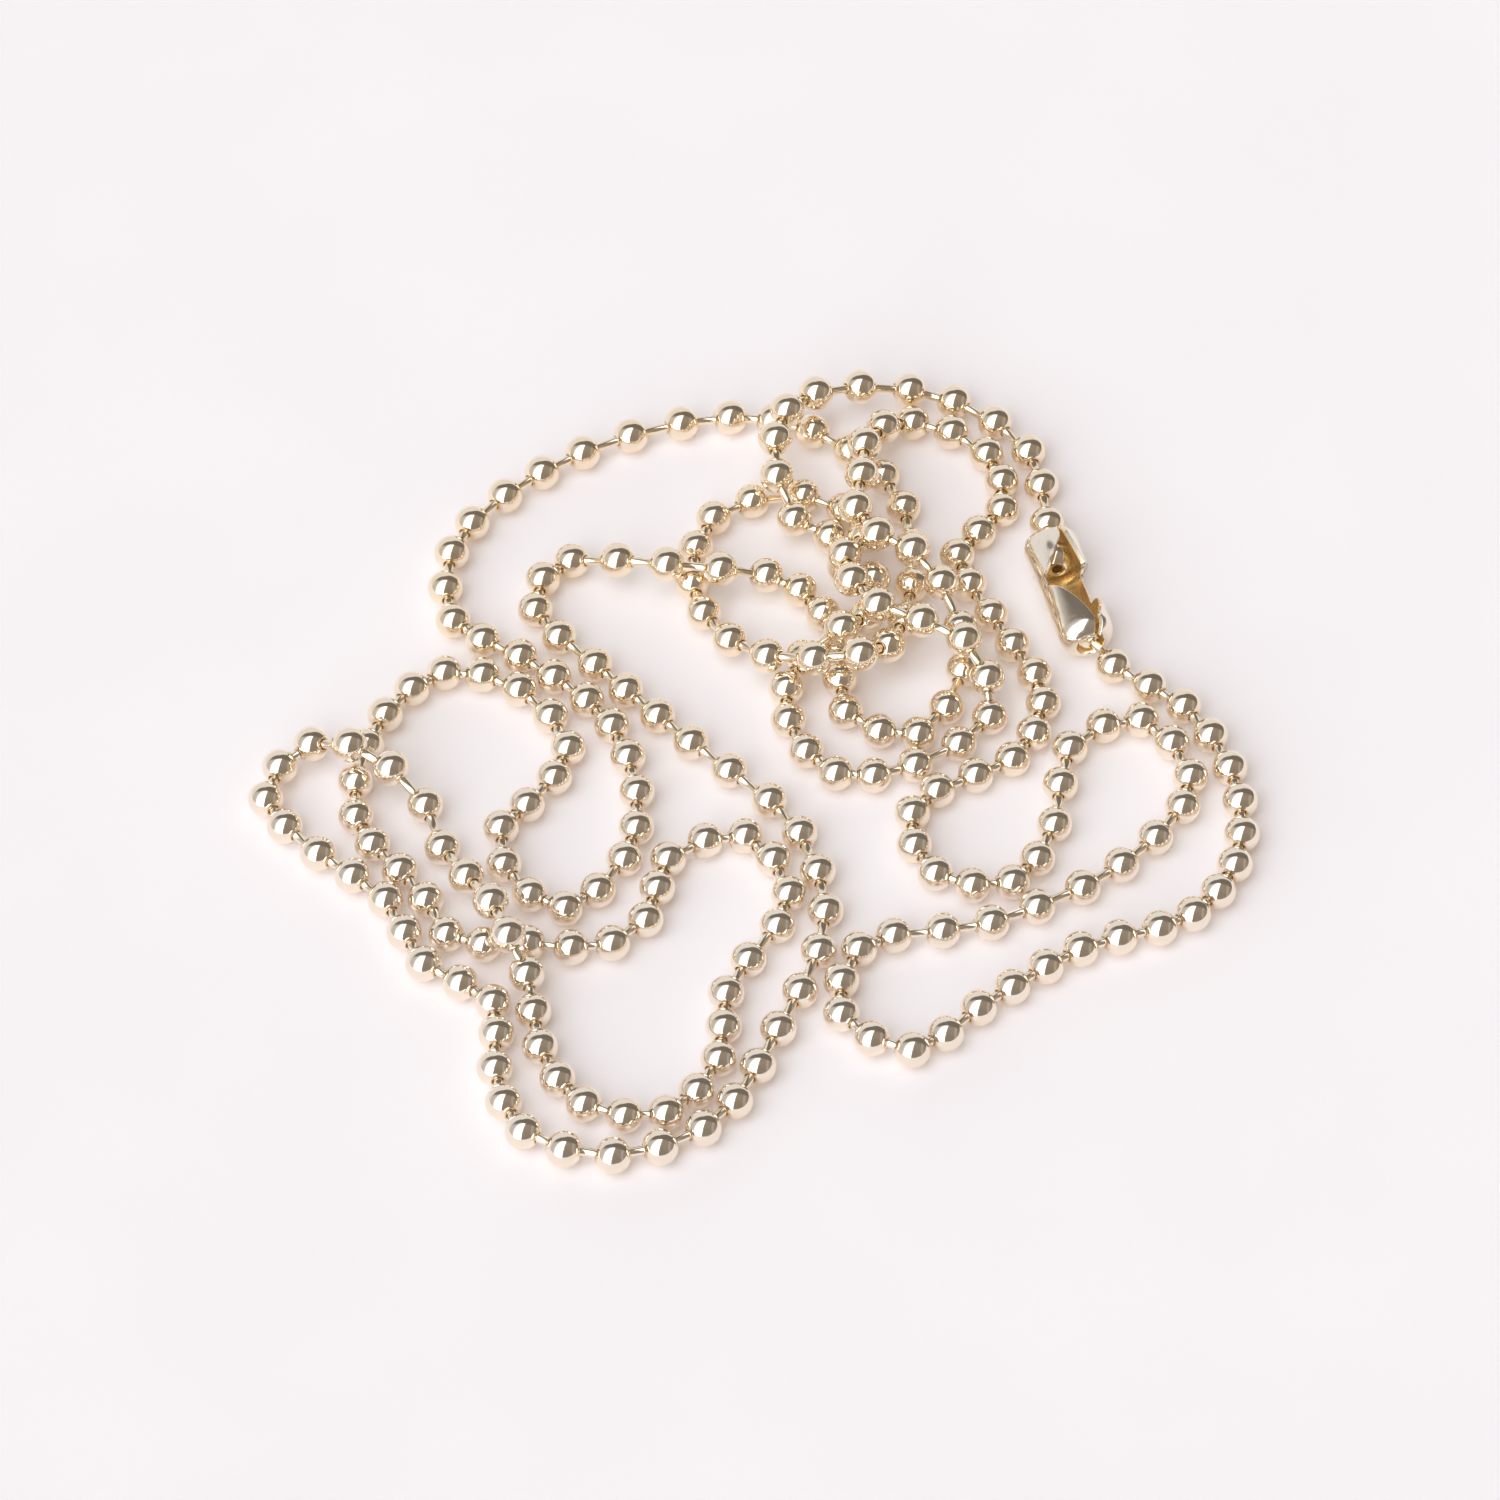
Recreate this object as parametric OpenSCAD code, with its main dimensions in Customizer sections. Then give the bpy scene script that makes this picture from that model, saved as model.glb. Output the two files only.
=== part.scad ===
// Ball chain necklace: a closed loop of hollow drilled balls on a link wire, its two ends held in a
// sheet connector, lying loosely heaped on a flat surface. Millimetres, +Z up, resting at z = 0.

/* [Balls] */
// Outer diameter of one hollow ball
ball_d = 2.4; // [2.2:0.1:3]
// Thickness of the sheet that a ball is rolled from
ball_wall = 0.2; // [0.12:0.02:0.3]

/* [Link wire] */
// Diameter of the wire that joins ball to ball
wire_d = 0.6; // [0.4:0.05:0.65]
// Play between the wire and the rim of a ball's hole, all round
hole_play = 0.1; // [0.1:0.05:0.25]

/* [Connector] */
// Length of the connector over its two domed ends
conn_length = 10; // [9:0.5:12]
// Thickness of the connector's sheet
conn_wall = 0.3; // [0.2:0.05:0.4]
// Play between a held ball and the inside of the connector, all round
conn_play = 0.4; // [0.2:0.05:0.5]
// Radius of the outer rounding at each end
conn_round = 1.2; // [0.8:0.1:1.4]
// Free space between each end and the next ball outside it
conn_gap = 0.4; // [0.2:0.1:1]
// How far the ball outside the lower end lies to the outer side of the connector's axis
low_aside = 1.1; // [0:0.1:1.2]
// How far the ball outside the upper end lies to the outer side of the connector's axis
high_aside = 0.6; // [0:0.1:1.2]
// How far the ball held at the lower end stands into that end's hole
low_held_out = 0.15; // [0:0.05:0.2]
// Free space between the ball held at the upper end and the inside of that end
high_held_gap = 0.5; // [0.1:0.1:0.6]
// Length of the mouth at its widest, on the side that faces into the loop
inner_mouth = 0.9; // [0.2:0.1:4.4]
// Length of the mouth at its widest, on the side that faces out of the loop
outer_mouth = 2.6; // [0.2:0.1:4.4]
// Shift of the mouth's widest part towards the upper end, on the inner side
inner_shift = 0.4; // [0:0.1:1]
// Shift of the mouth's widest part towards the upper end, on the outer side
outer_shift = 0.4; // [0:0.1:1]
// From the connector's middle to the tip of the outer ear at the upper end
high_tip = 1; // [0.8:0.1:2.4]
// From the connector's middle to the tip of the outer ear at the lower end
low_tip = 2.6; // [1:0.1:2.8]
// From the mouth's middle line to the tips of the outer ears
tip_aside = 0.85; // [0.4:0.05:1.4]
// Length of the slot from where the ears meet it to each end
slot_length = 1.25; // [1:0.05:1.6]
// Angle of the tube that the mouth takes away on the inner side, from its middle
inner_angle = 80; // [60:1:85]
// Angle of the tube that the mouth takes away on the outer side, from its middle
outer_angle = 98; // [60:1:110]
// Width of the slot between the two ears at each end
slot_w = 0.4; // [0.3:0.1:0.8]
// Play between the wire and the hole in each end, all round
end_hole_play = 0.77; // [0.6:0.01:0.8]
// Turn of the mouth from straight up towards the outside of the loop
conn_roll = 25; // [0:1:60]

/* [Hidden] */
// Columns of the route table, and the third coordinate of a point
X = 0;
Y = 1;
LIFT = 2;
LINKS = 3;
Z = 2;
// Route of the chain from the connector's lower end round to its upper end. Each row is a chosen
// point on the surface in ball diameters, how far the ball there is lifted off the surface in ball
// diameters, and the number of links on to the next row.
ROUTE = [
    [12.0, 1.9, 0, 2], [13.2, -0.3, 0, 3], [13.2, -3.7, 0, 2], [12.0, -5.4, 0, 3], [8.9, -6.6, 0, 3],
    [6.1, -8.6, 0, 2], [4.3, -10.0, 0, 2], [2.4, -8.8, 0, 2], [2.9, -6.6, 0, 3], [6.5, -5.7, 0, 3],
    [10.1, -3.7, 0, 3], [12.1, -0.6, 0, 2], [10.8, 1.4, 0, 2], [8.8, 0.4, 0, 2], [8.3, -2.3, 0, 2],
    [7.1, -4.3, 0, 2], [5.0, -4.0, 0, 2], [4.4, -1.9, 0, 1], [5.1, -1.1, 0, 2], [7.2, 0.0, 0, 2],
    [8.1, 2.0, 0, 3], [6.7, 5.2, 0, 2], [5.8, 7.4, 0, 2], [7.1, 9.1, 0, 2], [6.7, 11.2, 0, 2],
    [4.6, 12.4, 0, 2], [3.2, 10.8, 0.9, 1], [3.1, 9.4, 1.2, 1], [2.9, 8.0, 1.4, 1], [3.5, 7.1, 1.3, 1],
    [4.5, 6.6, 1.2, 3], [5.9, 3.2, 0, 2], [4.6, 0.9, 0, 2], [2.6, 1.7, 0, 2], [2.4, 4.2, 0, 3],
    [0.4, 6.5, 0.2, 1], [-0.9, 6.3, 0.7, 1], [-2.4, 6.4, 0.8, 1], [-3.8, 6.8, 0.5, 1], [-5.1, 7.2, 0, 2],
    [-6.1, 5.4, 0, 2], [-4.4, 3.4, 0, 3], [-1.7, 0.6, 0, 3], [1.3, -2.6, 0, 2], [2.0, -5.3, 0, 3],
    [0.7, -9.3, 0, 3], [-1.3, -12.6, 0, 2], [-3.7, -13.5, 0, 2], [-6.1, -12.7, 0, 2], [-6.9, -10.6, 0, 2],
    [-7.0, -8.4, 0, 2], [-8.9, -7.1, 0, 2], [-10.0, -4.9, 0, 2], [-11.9, -3.3, 0, 2], [-13.4, -1.4, 0, 2],
    [-12.2, 0.3, 0.3, 1], [-11.1, -0.2, 0.9, 2], [-9.0, -1.7, 0.1, 1], [-8.5, -3.1, 0, 2],
    [-7.1, -5.5, 0.7, 1], [-6.6, -6.8, 0.9, 1], [-6.1, -7.6, 0.2, 2], [-5.7, -9.9, 0, 2],
    [-4.5, -11.8, 0, 2], [-2.3, -12.1, 0, 2], [-0.9, -10.3, 0, 2], [-0.7, -8.1, 0, 3], [1.0, -4.7, 0, 2],
    [-0.2, -2.7, 0, 2], [-2.3, -3.5, 0, 2], [-2.9, -5.6, 0, 1], [-3.8, -6.4, 0, 2], [-6.1, -6.4, 0, 2],
    [-8.3, -6.1, 0, 1], [-8.9, -4.9, 0, 3], [-10.9, -2.0, 0, 3], [-10.2, 1.6, 0, 2], [-8.6, 3.1, 0, 2],
    [-6.5, 2.5, 0, 2], [-5.1, 0.4, 0, 2], [-6.2, -1.6, 0, 1], [-6.9, -2.4, 0, 1], [-6.8, -3.7, 0, 2],
    [-5.1, -5.2, 0, 2], [-3.5, -3.5, 0, 4], [-3.9, 1.2, 0, 3], [-6.5, 3.7, 0, 2], [-8.4, 5.0, 0, 2],
    [-8.5, 7.5, 0, 3], [-6.0, 10.5, 0, 5], [0.6, 12.5, 0, 4], [4.3, 9.2, 0, 2], [4.5, 6.3, 0, 2],
    [3.8, 3.6, 0.6, 1], [3.0, 2.7, 1.3, 1], [1.7, 2.8, 1.0, 1], [0.4, 3.3, 0.5, 3], [-1.7, 6.4, 0, 2],
    [-1.1, 8.8, 0, 3], [2.6, 9.1, 0, 1], [3.2, 7.8, 0.4, 1], [2.6, 6.6, 1.0, 2], [3.5, 4.5, 1.3, 2],
    [5.9, 3.4, 1.1, 2], [6.6, 1.5, 0, 2], [4.5, -0.2, 0, 2], [2.3, -0.5, 0, 2], [1.0, 1.4, 0, 2],
    [1.4, 3.5, 0.2, 1], [2.5, 3.9, 1.0, 1], [3.2, 4.9, 0.3, 1], [3.4, 6.2, 0.4, 1], [2.6, 7.0, 0, 1],
    [2.2, 8.1, 0, 1], [1.2, 8.5, 0.3, 1], [0.7, 9.7, 0.8, 2], [1.0, 12.0, 1.0, 4], [5.8, 13.2, 0, 2],
    [7.9, 11.3, 0, 2]
];
// Middle of the connector on the surface in ball diameters, and the heading of its axis
conn_place = [8.89, 5.87];
conn_heading = -74;

// Number of sides drawn on a ball, on the connector and on the wire
ball_sides = 24;
conn_sides = 48;
wire_sides = 6;

// Each cut runs this far past the face that it opens
over = 0.5;
// The outer ears run this far past the tube's side before the mouth's widest stretch
ear_past = 0.06;
// Space under a ball held in the connector, which hangs on its link
held_clear = 0.25;

hollow_r = ball_d / 2 - ball_wall;
hole_d = wire_d + 2 * hole_play;
conn_d = ball_d + 2 * conn_play + 2 * conn_wall;
end_hole_d = wire_d + 2 * end_hole_play;
conn_dir = [cos(conn_heading), sin(conn_heading), 0];
conn_centre = [conn_place[X] * ball_d, conn_place[Y] * ball_d, conn_d / 2];
low_held_at = conn_length / 2 - conn_wall + low_held_out - ball_d / 2;
high_held_at = conn_length / 2 - conn_wall - high_held_gap - ball_d / 2;
outside_at = conn_length / 2 + conn_gap + ball_d / 2;

function unit(v) = v / norm(v);
// A ball held inside the connector, at a signed distance from its middle, lying low in it
function held_ball(along) = conn_centre + conn_dir * along - [0, 0, conn_play - held_clear];
// The first ball outside an end, on the surface and a little to the side of the connector's axis
function outside_ball(along, aside) =
    let (side = [-conn_dir[Y], conn_dir[X]])
    [for (axis = [X, Y]) conn_centre[axis] + conn_dir[axis] * along + side[axis] * aside, ball_d / 2];
function laid_ball(row) = [row[X], row[Y], row[LIFT] + 0.5] * ball_d;

// The places of all rows and the links between them, with the connector's balls at both ends
stations = concat(
    [held_ball(low_held_at), outside_ball(outside_at, low_aside)],
    [for (row = ROUTE) laid_ball(row)],
    [outside_ball(-outside_at, high_aside), held_ball(-high_held_at)]
);
links = concat([1, 2], [for (row = ROUTE) row[LINKS]], [1]);
last = len(stations) - 1;

// Step per link at a station, weighted so that the closer neighbour counts more
function chord(i) = (stations[i + 1] - stations[i]) / links[i];
function slope(i) =
    i == 0 ? chord(0)
    : i == last ? chord(last - 1)
    : (chord(i - 1) * links[i] + chord(i) * links[i - 1]) / (links[i - 1] + links[i]);
// Smooth curve from station i to the next, t from 0 to 1
function between(i, t) =
    let (s = 1 - t, m = links[i])
    stations[i] * (1 + 2 * t) * s * s + slope(i) * m * t * s * s
    + stations[i + 1] * t * t * (3 - 2 * t) - slope(i + 1) * m * t * t * s;
// No ball sinks into the surface
function on_surface(p) = [p[X], p[Y], max(p[Z], ball_d / 2)];

laid = [
    for (i = [0 : last - 1])
        for (k = [0 : links[i] - 1])
            on_surface(between(i, k / links[i])),
    on_surface(stations[last])
];
// The middle of the laid chain, seen from above, becomes the origin
function middle(axis) = let (all = [for (p = laid) p[axis]]) (min(all) + max(all)) / 2;
origin = [middle(X), middle(Y), 0];
centres = [for (p = laid) p - origin];
count = len(centres);

// Direction of the link ahead of a ball and behind it, going straight on past either end
function ahead(i) =
    let (from = min(i, count - 2))
    unit(centres[from + 1] - centres[from]);
function behind(i) = i == 0 ? -ahead(0) : -ahead(i - 1);

// Lays what is drawn along +Z along a direction
module aim(dir) {
    rotate([0, acos(dir[Z]), atan2(dir[Y], dir[X])])
        children();
}

// A hollow ball with a hole on each side, where its links come out. The spheres stand square to
// the chain, with their poles and seam well away from both holes.
module drilled_ball(front, back) {
    dir = unit(front - back);
    difference() {
        rotate([asin(dir[Z]), 0, atan2(dir[Y], dir[X]) - 90])
            difference() {
                sphere(d = ball_d, $fn = ball_sides);
                sphere(r = hollow_r, $fn = ball_sides);
            }
        for (hole = [front, back])
            aim(hole)
                translate([0, 0, hollow_r / 2])
                    cylinder(d = hole_d, h = ball_d / 2, $fn = ball_sides);
    }
}

module ball_chain() {
    color([0.93, 0.86, 0.73])
        for (i = [0 : count - 1])
            translate(centres[i])
                drilled_ball(ahead(i), behind(i));
}

// One round of points across the wire at a ball's centre, where it turns from link to link
function wire_ring(i) =
    let (
        dir = unit(ahead(i) - behind(i)),
        across = unit(cross([0, 0, 1], dir)),
        up = cross(dir, across),
        stretch = 1 / (dir * ahead(i)),
        bend = ahead(i) + behind(i),
        bend_side = norm(bend) > 0.001 ? unit(bend) : across
    )
    [for (k = [0 : wire_sides - 1])
        let (
            turn = 360 * k / wire_sides,
            spoke = across * cos(turn) + up * sin(turn),
            miter = bend_side * (spoke * bend_side) * (stretch - 1)
        )
        centres[i] + (spoke + miter) * wire_d / 2];

module link_wire() {
    points = [for (i = [0 : count - 1]) each wire_ring(i)];
    walls = [
        for (i = [0 : count - 2])
            for (k = [0 : wire_sides - 1])
                let (a = i * wire_sides, b = a + wire_sides, n = (k + 1) % wire_sides)
                [a + k, b + k, b + n, a + n]
    ];
    first_cap = [for (k = [0 : wire_sides - 1]) k];
    last_cap = [for (k = [wire_sides - 1 : -1 : 0]) (count - 1) * wire_sides + k];
    color([0.9, 0.84, 0.74])
        polyhedron(points = points, faces = concat(walls, [first_cap, last_cap]));
}

// A tube closed by rounded ends, along +X
module capsule(length, d, corner) {
    rotate([0, 90, 0])
        rotate_extrude($fn = conn_sides)
            intersection() {
                half_section(length, d, corner);
                translate([0, -length / 2])
                    square([d / 2, length]);
            }
}

// Half of the capsule's section, and a little past its axis: two crossed bars and round corners
module half_section(length, d, corner) {
    translate([0, -length / 2])
        square([d / 2 - corner, length]);
    translate([0, corner - length / 2])
        square([d / 2, length - 2 * corner]);
    for (end = [-1, 1])
        translate([d / 2 - corner, end * (length / 2 - corner)])
            circle(r = corner, $fn = conn_sides);
}

// The two halves of the mouth, seen from above it: each has its widest stretch, and towards each
// end the edge of an ear that closes in on the slot
module inner_half() {
    reach = conn_length / 2 - slot_length;
    start = -inner_mouth / 2 - inner_shift;
    wide = conn_d / 2;
    polygon([
        [-reach, 0],
        [-reach, -slot_w / 2],
        [start, -wide],
        [start, -wide - over],
        [start + inner_mouth, -wide - over],
        [start + inner_mouth, -wide],
        [reach, -slot_w / 2],
        [reach, 0]
    ]);
}

module outer_half() {
    reach = conn_length / 2 - slot_length;
    start = -outer_mouth / 2 - outer_shift;
    beyond = conn_d / 2 + over;
    wide = conn_d / 2 + ear_past;
    polygon([
        [-reach, 0],
        [-reach, slot_w / 2],
        [-high_tip, tip_aside],
        [start, wide],
        [start, beyond],
        [start + outer_mouth, beyond],
        [start + outer_mouth, wide],
        [low_tip, tip_aside],
        [reach, slot_w / 2],
        [reach, 0]
    ]);
}

// Takes a half of the mouth out of the tube, down to an angle from the mouth's middle
module opening(angle) {
    translate([0, 0, conn_d / 2 * cos(angle)])
        linear_extrude(conn_d)
            children();
}

module connector_sheet() {
    slot_start = conn_length / 2 - slot_length - slot_w / 2;
    difference() {
        capsule(conn_length, conn_d, conn_round);
        capsule(conn_length - 2 * conn_wall, conn_d - 2 * conn_wall, conn_round - conn_wall);
        opening(inner_angle)
            inner_half();
        opening(outer_angle)
            outer_half();
        for (end = [0, 180])
            rotate([0, 0, end]) {
                translate([slot_start, -slot_w / 2, 0])
                    cube([conn_length / 2 + over - slot_start, slot_w, conn_d / 2 + over]);
                translate([conn_length / 2 - conn_wall - over, 0, 0])
                    rotate([0, 90, 0])
                        cylinder(d = end_hole_d, h = conn_wall + 2 * over, $fn = ball_sides);
            }
    }
}

module connector() {
    color([0.93, 0.86, 0.73])
        translate(conn_centre - origin)
            rotate([-conn_roll, 0, conn_heading])
                connector_sheet();
}

ball_chain();
link_wire();
connector();
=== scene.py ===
"""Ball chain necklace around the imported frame: hollow drilled balls, the pins that link them, the
rolled sheet connector, the pale sheet that it all lies on, and soft light. Metres, in the frame."""
from math import acos, asin, atan2, cos, exp, pi, radians, sin, sqrt

import bpy
import numpy as np
from mathutils import Matrix, Vector


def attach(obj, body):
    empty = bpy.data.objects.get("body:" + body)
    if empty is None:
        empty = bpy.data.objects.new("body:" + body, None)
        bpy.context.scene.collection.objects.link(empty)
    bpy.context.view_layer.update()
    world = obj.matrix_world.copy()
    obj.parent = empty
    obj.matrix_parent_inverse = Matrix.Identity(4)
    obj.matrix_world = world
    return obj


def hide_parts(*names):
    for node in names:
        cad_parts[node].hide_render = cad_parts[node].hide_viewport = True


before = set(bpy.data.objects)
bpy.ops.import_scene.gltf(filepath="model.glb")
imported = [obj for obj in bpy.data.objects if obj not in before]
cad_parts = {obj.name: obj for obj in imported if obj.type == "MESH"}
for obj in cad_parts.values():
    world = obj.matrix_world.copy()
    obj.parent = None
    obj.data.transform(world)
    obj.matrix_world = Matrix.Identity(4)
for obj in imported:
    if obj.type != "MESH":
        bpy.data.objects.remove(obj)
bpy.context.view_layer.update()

MM = 0.001


# ---------------------------------------------------------------------------------- camera

def place_camera():
    """A long lens half a metre away, looking down on the necklace at the photograph's angle."""
    looked_at = Vector((-0.195, 1.79, 0)) * MM
    elevation = radians(51.1)
    distance = 500 * MM
    data = bpy.data.cameras.new("camera")
    data.lens = 180
    data.sensor_width = 36
    camera = bpy.data.objects.new("camera", data)
    camera.location = looked_at + distance * Vector((0, -cos(elevation), sin(elevation)))
    camera.rotation_euler = (pi / 2 - elevation, 0, 0)
    bpy.context.collection.objects.link(camera)
    bpy.context.scene.camera = camera


place_camera()
bpy.context.scene.view_settings.view_transform = "Standard"


# ---------------------------------------------------------------------------------- sizes, mm

BALL_D = 2.4
BALL_R = BALL_D / 2
BALL_WALL = 0.2
HOLE_R = 0.36
WIRE_R = 0.3
HEAD_R = 0.43          # head on each end of a pin, inside its ball
HEAD_AT = 0.55         # from the ball's centre
NOT_A_LINK = (0.3, 0.2, 1)  # a direction that no link has, to turn cross sections from

CONN_LENGTH = 10
CONN_WALL = 0.3
CONN_PLAY = 0.4        # between a held ball and the tube
CONN_ROUND = 1.2       # outside radius of the bend into each domed end
CONN_GAP = 0.4         # from each end to the ball outside it
CONN_D = BALL_D + 2 * CONN_PLAY + 2 * CONN_WALL
END_HOLE_R = 1.07
SLOT_W = 0.4
SLOT_LENGTH = 1.25     # at each end, up to the end hole
OUTER_MOUTH = 2.6      # the mouth's widest stretch on the side that faces out of the loop
OUTER_SHIFT = 0.4      # and how far its middle lies towards the upper end
INNER_MOUTH = 0.9      # the same on the side that faces into the loop
INNER_SHIFT = 0.4
MOUTH_STEP = 0.01      # the upper outer ear ends square, over this much length
HIGH_TIP = 1.0         # from the middle to the tip of the upper outer ear
LOW_TIP = 2.6          # and of the lower one
TIP_ASIDE = 0.85       # how far both stand from the mouth's middle line
INNER_ANGLE = radians(80)  # of the tube that the mouth takes away on each side, from its middle
OUTER_ANGLE = radians(98)
LOW_ASIDE = 1.1        # how far the balls outside the two ends lie to the outer side
HIGH_ASIDE = 0.6
CONN_ROLL = radians(25)
CONN_HEADING = radians(-74)
CONN_PLACE = (8.89, 5.87)  # ball diameters
LOW_HELD_OUT = 0.15    # the lower held ball stands this far into its end hole
HIGH_HELD_GAP = 0.5    # the upper one lies this far inside its end
HELD_CLEAR = 0.25      # between a held ball and the tube under it
EARS_REACH = CONN_LENGTH / 2 - SLOT_LENGTH    # from the middle to where two ears reach the slot
OUTER_START = -OUTER_MOUTH / 2 - OUTER_SHIFT  # where the widest stretch begins on each side
INNER_START = -INNER_MOUTH / 2 - INNER_SHIFT

# Small departures of the sheet from the plain tube, seen in the photograph
EDGE_LEAN = 0.07       # how far the cut edge leans back on the outer side, each way
LEAN_COLUMNS = 12      # over which that lean dies away behind the edge
DIMPLE_DEPTH = 0.055   # of the dent in the upper inner ear
DIMPLE_AT = (-2.4, -2.44)    # along, and the angle from straight down
DIMPLE_SPREAD = (0.6, 0.12)
EAR_FALL = 0.015       # the inner ears fall away towards both ends by this times along squared
EAR_FALL_REACH = 3.9   # along, beyond which they fall no further
EAR_FOOT = 1.4         # angle from straight down where an inner ear begins to fall
EAR_RISE = 0.9         # and the angle over which the fall comes in


# ---------------------------------------------------------------------------------- route

# Route of the chain from the connector's lower end round to its upper end, as in the part's
# source: across, away and up off the surface in ball diameters, and the number of links on to the
# next place
ROUTE = [
    (12.0, 1.9, 0, 2), (13.2, -0.3, 0, 3), (13.2, -3.7, 0, 2), (12.0, -5.4, 0, 3),
    (8.9, -6.6, 0, 3), (6.1, -8.6, 0, 2), (4.3, -10.0, 0, 2), (2.4, -8.8, 0, 2), (2.9, -6.6, 0, 3),
    (6.5, -5.7, 0, 3), (10.1, -3.7, 0, 3), (12.1, -0.6, 0, 2), (10.8, 1.4, 0, 2), (8.8, 0.4, 0, 2),
    (8.3, -2.3, 0, 2), (7.1, -4.3, 0, 2), (5.0, -4.0, 0, 2), (4.4, -1.9, 0, 1), (5.1, -1.1, 0, 2),
    (7.2, 0.0, 0, 2), (8.1, 2.0, 0, 3), (6.7, 5.2, 0, 2), (5.8, 7.4, 0, 2), (7.1, 9.1, 0, 2),
    (6.7, 11.2, 0, 2), (4.6, 12.4, 0, 2), (3.2, 10.8, 0.9, 1), (3.1, 9.4, 1.2, 1),
    (2.9, 8.0, 1.4, 1), (3.5, 7.1, 1.3, 1), (4.5, 6.6, 1.2, 3), (5.9, 3.2, 0, 2), (4.6, 0.9, 0, 2),
    (2.6, 1.7, 0, 2), (2.4, 4.2, 0, 3), (0.4, 6.5, 0.2, 1), (-0.9, 6.3, 0.7, 1),
    (-2.4, 6.4, 0.8, 1), (-3.8, 6.8, 0.5, 1), (-5.1, 7.2, 0, 2), (-6.1, 5.4, 0, 2),
    (-4.4, 3.4, 0, 3), (-1.7, 0.6, 0, 3), (1.3, -2.6, 0, 2), (2.0, -5.3, 0, 3), (0.7, -9.3, 0, 3),
    (-1.3, -12.6, 0, 2), (-3.7, -13.5, 0, 2), (-6.1, -12.7, 0, 2), (-6.9, -10.6, 0, 2),
    (-7.0, -8.4, 0, 2), (-8.9, -7.1, 0, 2), (-10.0, -4.9, 0, 2), (-11.9, -3.3, 0, 2),
    (-13.4, -1.4, 0, 2), (-12.2, 0.3, 0.3, 1), (-11.1, -0.2, 0.9, 2), (-9.0, -1.7, 0.1, 1),
    (-8.5, -3.1, 0, 2), (-7.1, -5.5, 0.7, 1), (-6.6, -6.8, 0.9, 1), (-6.1, -7.6, 0.2, 2),
    (-5.7, -9.9, 0, 2), (-4.5, -11.8, 0, 2), (-2.3, -12.1, 0, 2), (-0.9, -10.3, 0, 2),
    (-0.7, -8.1, 0, 3), (1.0, -4.7, 0, 2), (-0.2, -2.7, 0, 2), (-2.3, -3.5, 0, 2),
    (-2.9, -5.6, 0, 1), (-3.8, -6.4, 0, 2), (-6.1, -6.4, 0, 2), (-8.3, -6.1, 0, 1),
    (-8.9, -4.9, 0, 3), (-10.9, -2.0, 0, 3), (-10.2, 1.6, 0, 2), (-8.6, 3.1, 0, 2),
    (-6.5, 2.5, 0, 2), (-5.1, 0.4, 0, 2), (-6.2, -1.6, 0, 1), (-6.9, -2.4, 0, 1),
    (-6.8, -3.7, 0, 2), (-5.1, -5.2, 0, 2), (-3.5, -3.5, 0, 4), (-3.9, 1.2, 0, 3),
    (-6.5, 3.7, 0, 2), (-8.4, 5.0, 0, 2), (-8.5, 7.5, 0, 3), (-6.0, 10.5, 0, 5), (0.6, 12.5, 0, 4),
    (4.3, 9.2, 0, 2), (4.5, 6.3, 0, 2), (3.8, 3.6, 0.6, 1), (3.0, 2.7, 1.3, 1), (1.7, 2.8, 1.0, 1),
    (0.4, 3.3, 0.5, 3), (-1.7, 6.4, 0, 2), (-1.1, 8.8, 0, 3), (2.6, 9.1, 0, 1), (3.2, 7.8, 0.4, 1),
    (2.6, 6.6, 1.0, 2), (3.5, 4.5, 1.3, 2), (5.9, 3.4, 1.1, 2), (6.6, 1.5, 0, 2),
    (4.5, -0.2, 0, 2), (2.3, -0.5, 0, 2), (1.0, 1.4, 0, 2), (1.4, 3.5, 0.2, 1), (2.5, 3.9, 1.0, 1),
    (3.2, 4.9, 0.3, 1), (3.4, 6.2, 0.4, 1), (2.6, 7.0, 0, 1), (2.2, 8.1, 0, 1), (1.2, 8.5, 0.3, 1),
    (0.7, 9.7, 0.8, 2), (1.0, 12.0, 1.0, 4), (5.8, 13.2, 0, 2), (7.9, 11.3, 0, 2),
]


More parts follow.
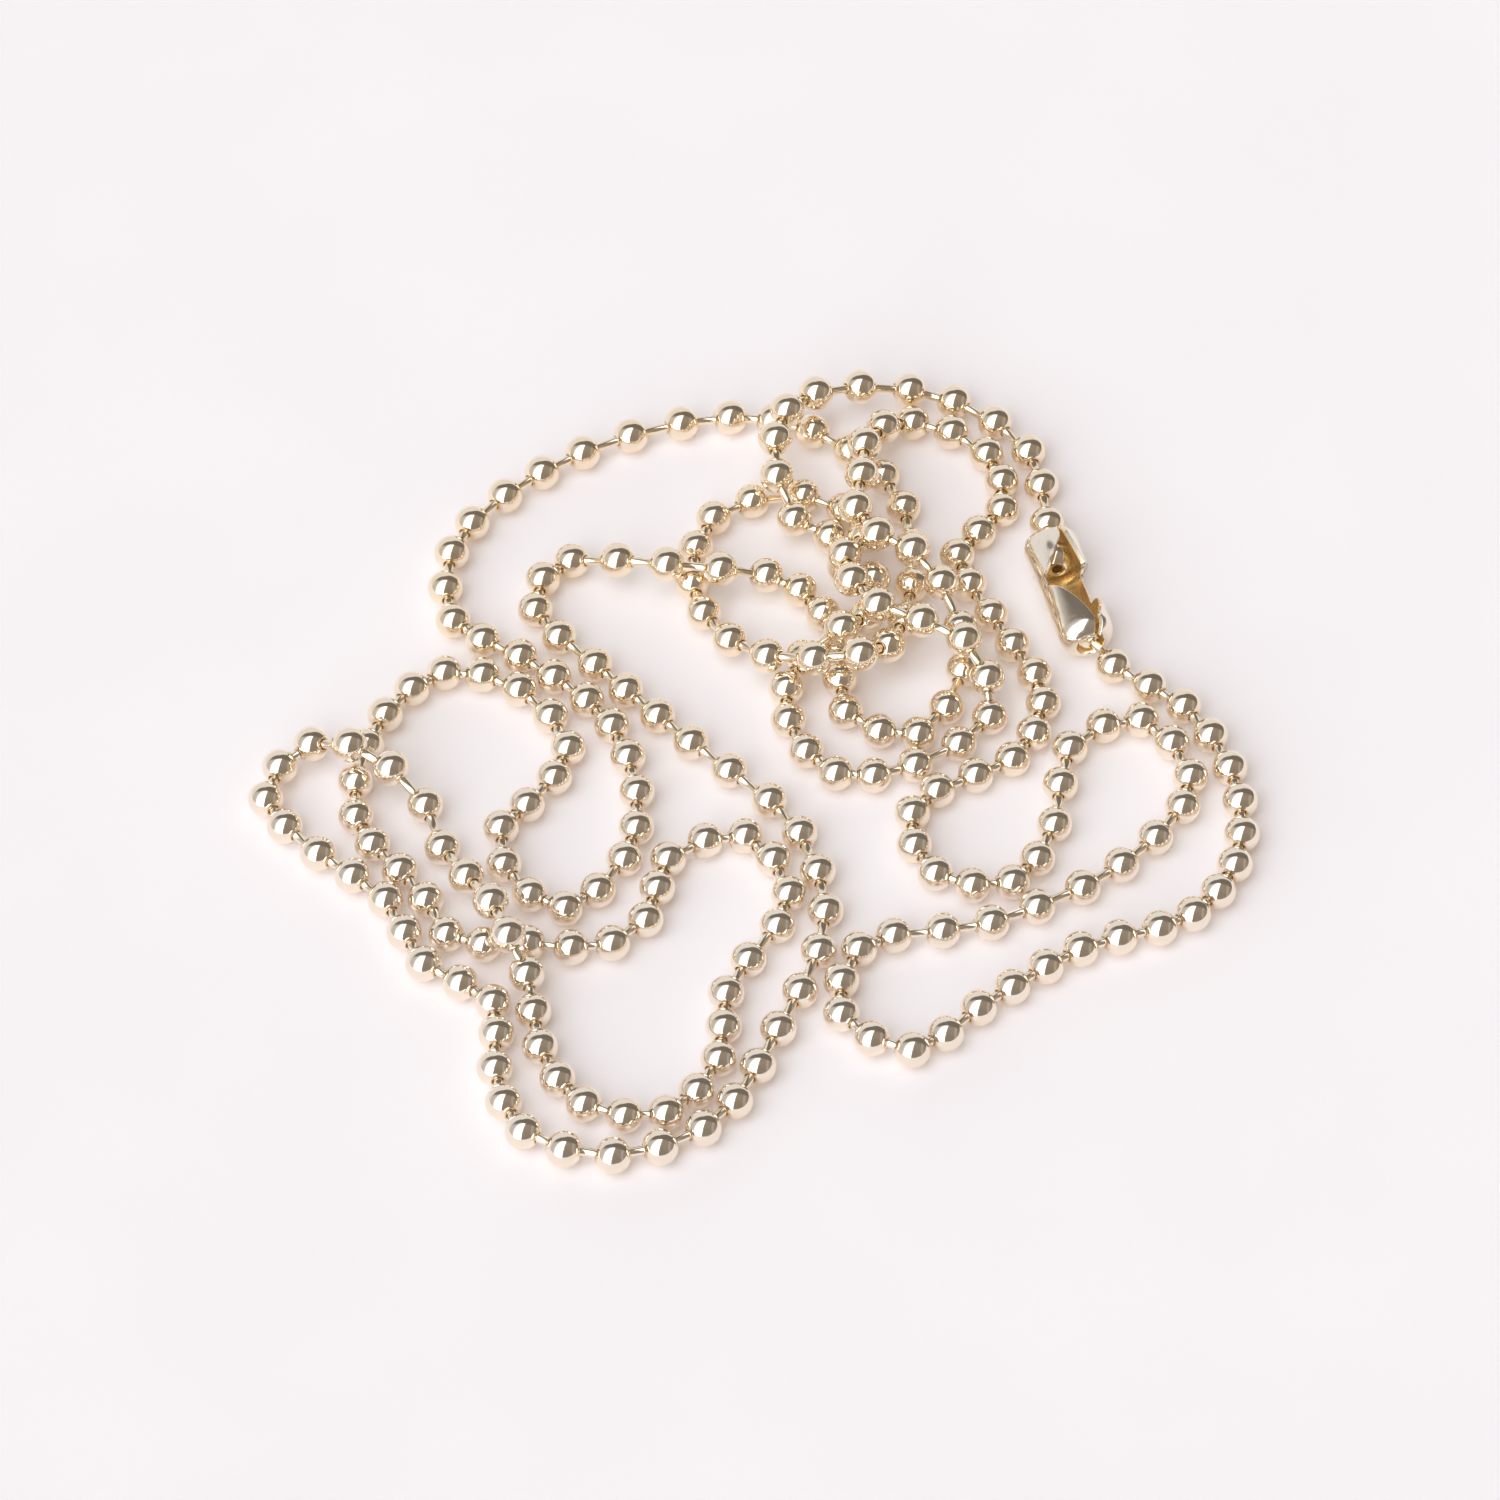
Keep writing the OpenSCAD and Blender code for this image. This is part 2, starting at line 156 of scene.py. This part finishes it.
def lay_chain():
    """Centres of all the balls and of the connector, in mm in the frame, as in the part's source."""
    conn_centre = np.array([CONN_PLACE[0] * BALL_D, CONN_PLACE[1] * BALL_D, CONN_D / 2])
    conn_dir = np.array([cos(CONN_HEADING), sin(CONN_HEADING), 0])
    low_held_at = CONN_LENGTH / 2 - CONN_WALL + LOW_HELD_OUT - BALL_R
    high_held_at = CONN_LENGTH / 2 - CONN_WALL - HIGH_HELD_GAP - BALL_R
    outside_at = CONN_LENGTH / 2 + CONN_GAP + BALL_R

    def outside(along, aside):
        side = np.array([-conn_dir[1], conn_dir[0], 0])
        place = conn_centre + conn_dir * along + side * aside
        return np.array([place[0], place[1], BALL_R])

    def held(along):
        return conn_centre + conn_dir * along - np.array([0, 0, CONN_PLAY - HELD_CLEAR])

    stations = [held(low_held_at), outside(outside_at, LOW_ASIDE)]
    stations += [np.array([x, y, lift + 0.5]) * BALL_D for x, y, lift, _ in ROUTE]
    stations += [outside(-outside_at, HIGH_ASIDE), held(-high_held_at)]
    links = [1, 2] + [row[3] for row in ROUTE] + [1]
    last = len(stations) - 1
    steps = [(stations[i + 1] - stations[i]) / links[i] for i in range(last)]
    slopes = [steps[0]]
    slopes += [
        (steps[i - 1] * links[i] + steps[i] * links[i - 1]) / (links[i - 1] + links[i])
        for i in range(1, last)
    ]
    slopes.append(steps[-1])
    laid = []
    for i in range(last):
        for k in range(links[i]):
            t = k / links[i]
            s = 1 - t
            laid.append(
                stations[i] * (1 + 2 * t) * s * s + slopes[i] * links[i] * t * s * s
                + stations[i + 1] * t * t * (3 - 2 * t) - slopes[i + 1] * links[i] * t * t * s
            )
    laid.append(stations[-1])
    laid = np.array(laid)
    laid[:, 2] = np.maximum(laid[:, 2], BALL_R)
    origin = (laid.min(axis=0) + laid.max(axis=0)) / 2
    origin[2] = 0
    return laid - origin, conn_centre - origin


centres, conn_centre = lay_chain()
COUNT = len(centres)


def unit(v):
    return v / np.linalg.norm(v)


# Direction of each link, from its ball to the next
link_dirs = [unit(centres[i + 1] - centres[i]) for i in range(COUNT - 1)]


# ---------------------------------------------------------------------------------- meshes

def new_piece(name, points_mm, faces, material):
    """A smooth mesh object from points in mm."""
    mesh = bpy.data.meshes.new(name)
    mesh.from_pydata((np.asarray(points_mm) * MM).tolist(), [], faces)
    mesh.polygons.foreach_set("use_smooth", [True] * len(mesh.polygons))
    mesh.materials.append(material)
    mesh.update()
    piece = bpy.data.objects.new(name, mesh)
    bpy.context.collection.objects.link(piece)
    return piece


def turned(rows, segments):
    """Faces of a lathed surface whose points run round each row in turn."""
    return [
        (a * segments + k, a * segments + (k + 1) % segments,
         (a + 1) * segments + (k + 1) % segments, (a + 1) * segments + k)
        for a in range(rows - 1)
        for k in range(segments)
    ]


def drilled_ball():
    """Points and faces of a straight drilled ball along +Z, and how far each point is from the
    front hole (0) to the rear hole (1). The wall has a round rim at each hole."""
    segments = 28
    outer_rows = 19
    inner_rows = 6
    rim_steps = 5
    middle_r = BALL_R - BALL_WALL / 2
    rim = BALL_WALL / 2 / middle_r
    edge = asin(HOLE_R / middle_r) + rim
    profile = []
    for k in range(outer_rows):
        profile.append((edge + (pi - 2 * edge) * k / (outer_rows - 1), BALL_R))
    for k in range(1, rim_steps):
        a = pi * k / rim_steps
        profile.append((pi - edge + rim * sin(a), middle_r + BALL_WALL / 2 * cos(a)))
    for k in range(inner_rows):
        profile.append((pi - edge - (pi - 2 * edge) * k / (inner_rows - 1), BALL_R - BALL_WALL))
    for k in range(1, rim_steps):
        a = pi * (1 - k / rim_steps)
        profile.append((edge - rim * sin(a), middle_r + BALL_WALL / 2 * cos(a)))
    points = []
    share = []
    for polar, reach in profile:
        along = min(max((polar - edge) / (pi - 2 * edge), 0), 1)
        for k in range(segments):
            turn = 2 * pi * k / segments
            points.append((reach * sin(polar) * cos(turn), reach * sin(polar) * sin(turn),
                           reach * cos(polar)))
            share.append(along * along * (3 - 2 * along))
    faces = turned(len(profile), segments)
    top = (len(profile) - 1) * segments
    faces += [(top + k, top + (k + 1) % segments, (k + 1) % segments, k) for k in range(segments)]
    return np.array(points), faces, np.array(share)


def place_ball(points, share, centre, front, back):
    """A drilled ball's points, its front hole towards front and its rear hole towards back, with
    the wall between them turned little by little."""
    aside = back - front * np.dot(back, front)
    bent = np.linalg.norm(aside)
    bend = atan2(bent, -np.dot(back, front))
    straight = bent < 1e-4
    x = unit(np.cross(front, NOT_A_LINK)) if straight else -aside / bent
    y = np.cross(front, x)
    turn = bend * share
    across = points[:, 0] * np.cos(turn) + points[:, 2] * np.sin(turn)
    along = points[:, 2] * np.cos(turn) - points[:, 0] * np.sin(turn)
    return centre + np.outer(across, x) + np.outer(points[:, 1], y) + np.outer(along, front)


def build_balls(name, first, past, outside, inside):
    """One run of the chain's balls as one piece."""
    points, faces, share = drilled_ball()
    # Faces with no corner on the outer surface take the darker metal, painted shade inside the ball
    just_inside = BALL_R - 0.01
    hidden = [int(max(np.linalg.norm(points[corner]) for corner in face) < just_inside)
              for face in faces]
    all_points = []
    all_faces = []
    for i in range(first, past):
        front = link_dirs[min(i, COUNT - 2)]
        back = -link_dirs[max(i - 1, 0)]
        base = (i - first) * len(points)
        all_points.append(place_ball(points, share, centres[i], front, back))
        all_faces += [tuple(base + corner for corner in face) for face in faces]
    piece = new_piece(name, np.concatenate(all_points), all_faces, outside)
    piece.data.materials.append(inside)
    piece.data.polygons.foreach_set("material_index", hidden * (past - first))
    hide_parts("ball_chain")
    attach(piece, "root")


def build_pins(outside, inside):
    """The two-headed pins, one from each ball to the next, straight through both holes."""
    segments = 14
    head_rows = 6
    pole = 0.4  # a head ends in a small flat face, this share of a row from its pole
    all_points = []
    all_faces = []
    neck_from = sqrt(HEAD_R ** 2 - WIRE_R ** 2)
    neck_turn = acos(neck_from / HEAD_R)
    for i in range(COUNT - 1):
        pitch = np.linalg.norm(centres[i + 1] - centres[i])
        # Distance along the pin and radius, from one head's outer pole to the other's
        half = []
        for k in range(head_rows + 1):
            a = (pi - neck_turn) * (k + pole) / (head_rows + pole)
            half.append((HEAD_AT - HEAD_R * cos(a), HEAD_R * sin(a)))
        profile = half + [(pitch / 2, WIRE_R)] + [(pitch - z, r) for z, r in reversed(half)]
        z = link_dirs[i]
        x = unit(np.cross(z, NOT_A_LINK))
        y = np.cross(z, x)
        base = sum(len(p) for p in all_points)
        turns = [2 * pi * k / segments for k in range(segments)]
        all_points.append(np.array([
            centres[i] + z * along + (x * cos(a) + y * sin(a)) * r
            for along, r in profile for a in turns
        ]))
        rows = turned(len(profile), segments)
        rows.append(tuple(range(segments - 1, -1, -1)))
        end = (len(profile) - 1) * segments
        rows.append(tuple(end + k for k in range(segments)))
        all_faces += [tuple(base + corner for corner in face) for face in rows]
    piece = new_piece("pins", np.concatenate(all_points), all_faces, outside)
    piece.data.materials.append(inside)
    # The heads, hidden in the balls, take the darker metal of painted shade: all rows but the two
    # long ones between the necks
    hidden = [int(not head_rows <= k // segments <= head_rows + 1) for k in range(len(rows))]
    piece.data.polygons.foreach_set("material_index", hidden * (COUNT - 1))
    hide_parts("link_wire")
    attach(piece, "root")


def opening_half(x, side):
    """Half the width of the opening at a place along the connector, on the outer side (1) or the
    inner one (-1): the tube's full width at the mouth, closing in along each ear to the slot."""
    wide = CONN_D / 2
    slot = SLOT_W / 2
    if side > 0:
        along = (-EARS_REACH, OUTER_START, OUTER_START + MOUTH_STEP, OUTER_START + OUTER_MOUTH,
                 LOW_TIP, EARS_REACH)
        half = (slot, TIP_ASIDE, wide, wide, TIP_ASIDE, slot)
    else:
        along = (-EARS_REACH, INNER_START, INNER_START + INNER_MOUTH, EARS_REACH)
        half = (slot, wide, wide, slot)
    return np.interp(x, along, half)


def ear_lean(x, angle):
    """How far the sheet at a place along and an angle from the mouth's middle is drawn towards the
    tip of the upper outer ear, which juts out over the mouth's widest stretch."""
    lean = np.interp(x, (-EARS_REACH, OUTER_START, OUTER_START + MOUTH_STEP),
                     (0, -HIGH_TIP - OUTER_START, 0))
    wide = CONN_D / 2
    drawn = (wide - wide * sin(angle)) / (wide - TIP_ASIDE) if angle < pi / 2 else 0
    return lean * min(drawn, 1)


def sunk(x, angle):
    """How far the sheet lies inside the plain tube at a place along and an angle from straight
    down: the fall of the inner ears and the dent in the upper one."""
    ear = min(max((-angle - EAR_FOOT) / EAR_RISE, 0), 1)
    fall = EAR_FALL * min(abs(x), EAR_FALL_REACH) ** 2 * ear * ear * (3 - 2 * ear)
    along = (x - DIMPLE_AT[0]) / DIMPLE_SPREAD[0]
    across = (angle - DIMPLE_AT[1]) / DIMPLE_SPREAD[1]
    return fall + DIMPLE_DEPTH * exp(-along ** 2 - across ** 2)


def sheet_profile():
    """The sheet's middle line from the lower end hole's rim along to the upper one's:
    (along, radius, and the two parts of the way out)."""
    mid_r = CONN_D / 2 - CONN_WALL / 2
    end_x = CONN_LENGTH / 2 - CONN_WALL / 2
    bend_r = CONN_ROUND - CONN_WALL / 2
    bend_x = end_x - bend_r
    first = asin((END_HOLE_R + bend_r - mid_r) / bend_r)
    bend_steps = 10
    straight_steps = 60
    half = []
    for k in range(bend_steps + 1):
        a = first + (pi / 2 - first) * k / bend_steps
        half.append((bend_x + bend_r * cos(a), mid_r - bend_r + bend_r * sin(a), cos(a), sin(a)))
    line = list(half)
    for k in range(1, straight_steps):
        line.append((bend_x * (1 - 2 * k / straight_steps), mid_r, 0, 1))
    line += [(-x, r, -nx, nr) for x, r, nx, nr in reversed(half)]
    return line


def build_connector(outside, inside):
    """The rolled sheet: a grid over its middle surface, thickened both ways. Its thickness falls
    away over slightly rounded corners towards every free edge, which is cut nearly square."""
    half_t = CONN_WALL / 2
    # Share of the half thickness, and how far behind the edge in half thicknesses
    corner = [(0, 0), (0.65, 0), (0.85, 0.03), (0.97, 0.12), (1, 0.3)]
    edge_steps = len(corner)
    columns = 96
    line = sheet_profile()
    rows = []
    for first, (x, r, nx, nr) in ((True, line[0]), (False, line[-1])):
        # The rim of each end hole: its rows stand nearer the hole than the sheet behind them
        ring = []
        for share, behind in corner if first else corner[::-1]:
            out = half_t * (1 - behind)
            ring.append((x + nr * out * (1 if x > 0 else -1), r - abs(nx) * out, nx, nr,
                         half_t * share))
        rows += ring if not first else ring + [(*row, half_t) for row in line]
    points = []
    outer = {}
    inner = {}
    for i, (x, r, nx, nr, row_thick) in enumerate(rows):
        out_r = r + half_t * nr
        rounding = half_t / r
        reach = {}
        for side, widest in ((-1, INNER_ANGLE), (1, OUTER_ANGLE)):
            half = opening_half(x, side)
            open_angle = widest if half >= CONN_D / 2 else min(asin(half / out_r), widest)
            reach[side] = pi - open_angle
        for j in range(columns + 1):
            # Angle from straight down, and the share of the thickness left near each free edge
            from_edge = min(j, columns - j)
            side = -1 if j < columns / 2 else 1
            if from_edge < edge_steps:
                share, behind = corner[from_edge]
                angle = side * (reach[side] - rounding * behind)
            else:
                low = -reach[-1] + rounding
                high = reach[1] - rounding
                angle = low + (high - low) * (j - edge_steps) / (columns - 2 * edge_steps)
                share = 1
            thick = row_thick * share
            down = np.array([0, sin(angle), -cos(angle)])
            lean = ear_lean(x, pi - angle) if angle > 0 else 0
            middle = np.array([x + lean, 0, 0]) + down * (r - sunk(x, angle))
            normal = np.array([nx, 0, 0]) + down * nr
            back = np.zeros(3)
            if side > 0:
                leaned = EDGE_LEAN * max(1 - from_edge / LEAN_COLUMNS, 0) * thick / half_t
                back = np.array([0, -cos(angle), -sin(angle)]) * leaned
            # The two faces of the sheet share a point where it has no thickness left
            outer[i, j] = len(points)
            points.append(middle + normal * thick + back)
            if thick > 0:
                points.append(middle - normal * thick - back)
            inner[i, j] = len(points) - 1
    faces = []
    for i in range(len(rows) - 1):
        for j in range(columns):
            faces.append((outer[i, j], outer[i, j + 1], outer[i + 1, j + 1], outer[i + 1, j]))
            faces.append((inner[i, j], inner[i + 1, j], inner[i + 1, j + 1], inner[i, j + 1]))
    turn = Matrix.Rotation(CONN_HEADING, 3, "Z") @ Matrix.Rotation(-CONN_ROLL, 3, "X")
    placed = np.array(points) @ np.array(turn).T + conn_centre
    piece = new_piece("connector_sheet", placed, faces, outside)
    piece.data.materials.append(inside)
    # The sheet's inner face takes the more orange, glowing metal: painted light bounced around
    # inside the tube
    piece.data.polygons.foreach_set("material_index", [k % 2 for k in range(len(faces))])
    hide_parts("connector")
    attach(piece, "root")


# ---------------------------------------------------------------------------------- shaders

class Shade:
    """A shader socket whose arithmetic adds Math nodes."""

    def __init__(self, tree, socket):
        self.tree = tree
        self.socket = socket

    def node(self, kind, settings=None, **values):
        """Adds a node: its settings first, then a value or a link for each input, by its name or
        by i and its number."""
        made = self.tree.nodes.new(kind)
        for name, value in (settings or {}).items():
            setattr(made, name, value)
        for name, value in values.items():
            key = int(name[1:]) if name[0] == "i" and name[1:].isdigit() else name.replace("_", " ")
            target = made.inputs[key]
            if isinstance(value, Shade):
                self.tree.links.new(value.socket, target)
            else:
                target.default_value = value
        return made

    def out(self, kind, settings=None, output=0, **values):
        """Adds a node and wraps one of its outputs."""
        return Shade(self.tree, self.node(kind, settings, **values).outputs[output])

    def math(self, operation, *values):
        """Adds a Math node and wraps its result."""
        named = {f"i{k}": value for k, value in enumerate(values)}
        return self.out("ShaderNodeMath", {"operation": operation}, **named)

    def __add__(self, other):
        return self.math("ADD", self, other)

    def __radd__(self, other):
        return self.math("ADD", other, self)

    def __sub__(self, other):
        return self.math("SUBTRACT", self, other)

    def __rsub__(self, other):
        return self.math("SUBTRACT", other, self)

    def __mul__(self, other):
        return self.math("MULTIPLY", self, other)

    def __rmul__(self, other):
        return self.math("MULTIPLY", other, self)

    def step(self, low, high):
        """0 below low to 1 above high, smoothly."""
        return self.out("ShaderNodeMapRange", {"interpolation_type": "SMOOTHSTEP"},
                        Value=self, From_Min=low, From_Max=high, To_Min=0.0, To_Max=1.0)

    def mix(self, first, second):
        """The first colour where this is 0 and the second where it is 1."""
        first, second = (
            colour if isinstance(colour, Shade) else (*colour, 1) for colour in (first, second)
        )
        # A mix node's colours are its inputs 6 and 7, and its mixed colour is its output 2
        return self.out("ShaderNodeMix", {"data_type": "RGBA"}, 2, i0=self, i6=first, i7=second)

    def drive(self, shader, name):
        """Links this to an input of a shader."""
        self.tree.links.new(self.socket, shader.inputs[name])


def new_material(name):
    """A material, its principled shader and a start for expressions in its tree."""
    material = bpy.data.materials.new(name)
    material.use_nodes = True
    tree = material.node_tree
    shader = tree.nodes["Principled BSDF"]
    return material, shader, Shade(tree, None)


PAINTED_PALE_AT = -0.014  # metres away from the middle: the plate is painted pale in front of here
PAINTED_GOLDEN_AT = 0.018      # and more golden behind here, painted gold light bounced between the heaped balls


def roughen(shader, heights, strength, depth):
    """Gives a shader fine relief from a socket of heights, depth being in metres."""
    bump = heights.out("ShaderNodeBump", Strength=strength, Distance=depth, Height=heights)
    bump.drive(shader, "Normal")


def plated_metal(name, pale, warm, gloss, dented, glow=None):
    """Polished pale gold plate, a drift of colour, handling marks and slight dents; painted paler at
    the front of the heap and more golden behind it, for the gold light bounced between the heaped
    balls. A glow of two colours stands for light caught between facing walls."""
    material, shader, start = new_material(name)
    place = start.out("ShaderNodeTexCoord", output="Object")
    drift = start.out("ShaderNodeTexNoise", Vector=place, Scale=500.0, Detail=2.0)
    marks = start.out("ShaderNodeTexNoise", Vector=place, Scale=4000.0, Detail=3.0, Roughness=0.6)
    dents = start.out("ShaderNodeTexNoise", Vector=place, Scale=1600.0, Detail=1.0)
    away = start.out("ShaderNodeSeparateXYZ", output=1, Vector=place)
    patches = drift.step(0.35, 0.7)
    # Painted light: the plate grows more golden towards the back of the heap, for the gold light
    # bounced between the balls; the patches are the plate's own drift of colour
    golden = 0.4 * patches + 0.6 * away.step(PAINTED_PALE_AT, PAINTED_GOLDEN_AT)
    shader.inputs["Metallic"].default_value = 1.0
    golden.mix(pale, warm).drive(shader, "Base Color")
    if glow:
        patches.mix(*glow).drive(shader, "Emission Color")
        shader.inputs["Emission Strength"].default_value = 1.0
    (gloss + 0.10 * marks.step(0.45, 0.8)).drive(shader, "Roughness")
    roughen(shader, dents, dented, 0.00002)
    return material


def pale_sheet():
    """The white sheet under the necklace, with the faintest tooth. Its own faint warm glow is
    painted
    light: it stands in for the warm light that the gold throws onto the sheet, and keeps the shadows
    warm."""
    material, shader, start = new_material("pale_sheet")
    place = start.out("ShaderNodeTexCoord", output="Object")
    clouds = start.out("ShaderNodeTexNoise", Vector=place, Scale=60.0, Detail=2.0).step(0.3, 0.7)
    tooth = start.out("ShaderNodeTexNoise", Vector=place, Scale=2500.0, Detail=3.0)
    clouds.mix((0.925, 0.905, 0.925), (0.94, 0.92, 0.935)).drive(shader, "Base Color")
    # Painted light: a faint warm glow over the whole sheet, for light bounced off the gold
    clouds.mix((0.145, 0.105, 0.078), (0.15, 0.11, 0.083)).drive(shader, "Emission Color")
    shader.inputs["Emission Strength"].default_value = 1.0
    shader.inputs["Roughness"].default_value = 0.85
    shader.inputs["Specular IOR Level"].default_value = 0.2
    roughen(shader, tooth, 0.15, 0.00003)
    return material


# ---------------------------------------------------------------------------------- surroundings

def lay_sheet(material):
    """A wide flat sheet just under the lowest balls, as a grid of square cells."""
    half = 1500
    cells = 30
    drop = 0.02
    points = [
        (-half + 2 * half * i / cells, -half + 2 * half * j / cells, -drop)
        for j in range(cells + 1) for i in range(cells + 1)
    ]
    wide = cells + 1
    faces = [
        (j * wide + i, j * wide + i + 1, (j + 1) * wide + i + 1, (j + 1) * wide + i)
        for j in range(cells) for i in range(cells)
    ]
    new_piece("pale_sheet", points, faces, material)


def light_studio():
    """Surroundings by direction, x to the right, y away and z up: a large soft box at the left, up
    to nearly overhead; dim at the right, with one lighter streak; white behind; and a thin dark gap
    between box and white."""
    world = bpy.data.worlds.new("studio")
    bpy.context.scene.world = world
    world.use_nodes = True
    tree = world.node_tree
    start = Shade(tree, None)
    place = start.out("ShaderNodeTexCoord", output="Generated")
    parts = start.node("ShaderNodeSeparateXYZ", Vector=place)
    x, y, z = (Shade(tree, parts.outputs[k]) for k in range(3))
    # Where each part of the surroundings stands, 0 to 1
    behind = (y - 0.85 * z - 0.8 * x.math("MAXIMUM", x, 0.0)).step(0.01, 0.06)
    gap = y.step(0.20, 0.28) * (1 - behind) * (x + 0.96).step(0.0, 0.40)
    left = (0.145 + 0.35 * y - x).step(-0.07, 0.05)
    box = (0.47 * x - 0.84 * y + 0.28 * z).step(-0.15, 0.15) * left * (x + 1.0).step(0.0, 0.35)
    streak = x.step(0.74, 0.84) * (1 - x.step(0.88, 0.96))
    # Their colours
    box_light = (0.0 - y).step(-0.2, 0.9).mix((1.78, 1.88, 2.03), (2.85, 3.0, 3.23))
    near = y.step(-0.8, -0.3).mix((0.262, 0.226, 0.195), (0.30, 0.26, 0.22))
    right = streak.mix(y.step(0.0, 0.3).mix(near, (0.255, 0.217, 0.185)), (0.42, 0.385, 0.34))
    lit = box.mix(left.mix(right, (0.56, 0.54, 0.52)), box_light)
    sky = behind.mix(gap.mix(lit, (0.175, 0.155, 0.135)), (0.80, 0.79, 0.80))
    background = tree.nodes["Background"]
    sky.drive(background, "Color")
    background.inputs["Strength"].default_value = 1.0


ball_metal = plated_metal("ball_metal", (0.955, 0.86, 0.74), (0.98, 0.845, 0.65), 0.09, 0.25)
wire_metal = plated_metal("wire_metal", (0.95, 0.85, 0.71), (0.96, 0.82, 0.61), 0.12, 0.25)
connector_metal = plated_metal("connector_metal", (0.97, 0.89, 0.78), (0.95, 0.86, 0.73), 0.14,
                               0.10)
# A darker, more orange copy of the plate for inner faces: painted shade and bounced gold light
# inside the hollows
inside_metal = plated_metal("inside_metal", (0.92, 0.70, 0.40), (0.88, 0.63, 0.33), 0.30, 0.25)
# A more orange copy of the connector's plate for its inner face, with a faint glow: painted bounced
# light inside the tube
connector_inside = plated_metal("connector_inside", (0.97, 0.82, 0.55), (0.95, 0.74, 0.43), 0.26,
                                0.35, glow=((0.055, 0.043, 0.022), (0.042, 0.024, 0.008)))

RUNS = 3  # pieces that the balls are shared out over
for run in range(RUNS):
    build_balls(f"balls_{run + 1}", COUNT * run // RUNS, COUNT * (run + 1) // RUNS, ball_metal,
                inside_metal)
build_pins(wire_metal, inside_metal)
build_connector(connector_metal, connector_inside)
lay_sheet(pale_sheet())
light_studio()
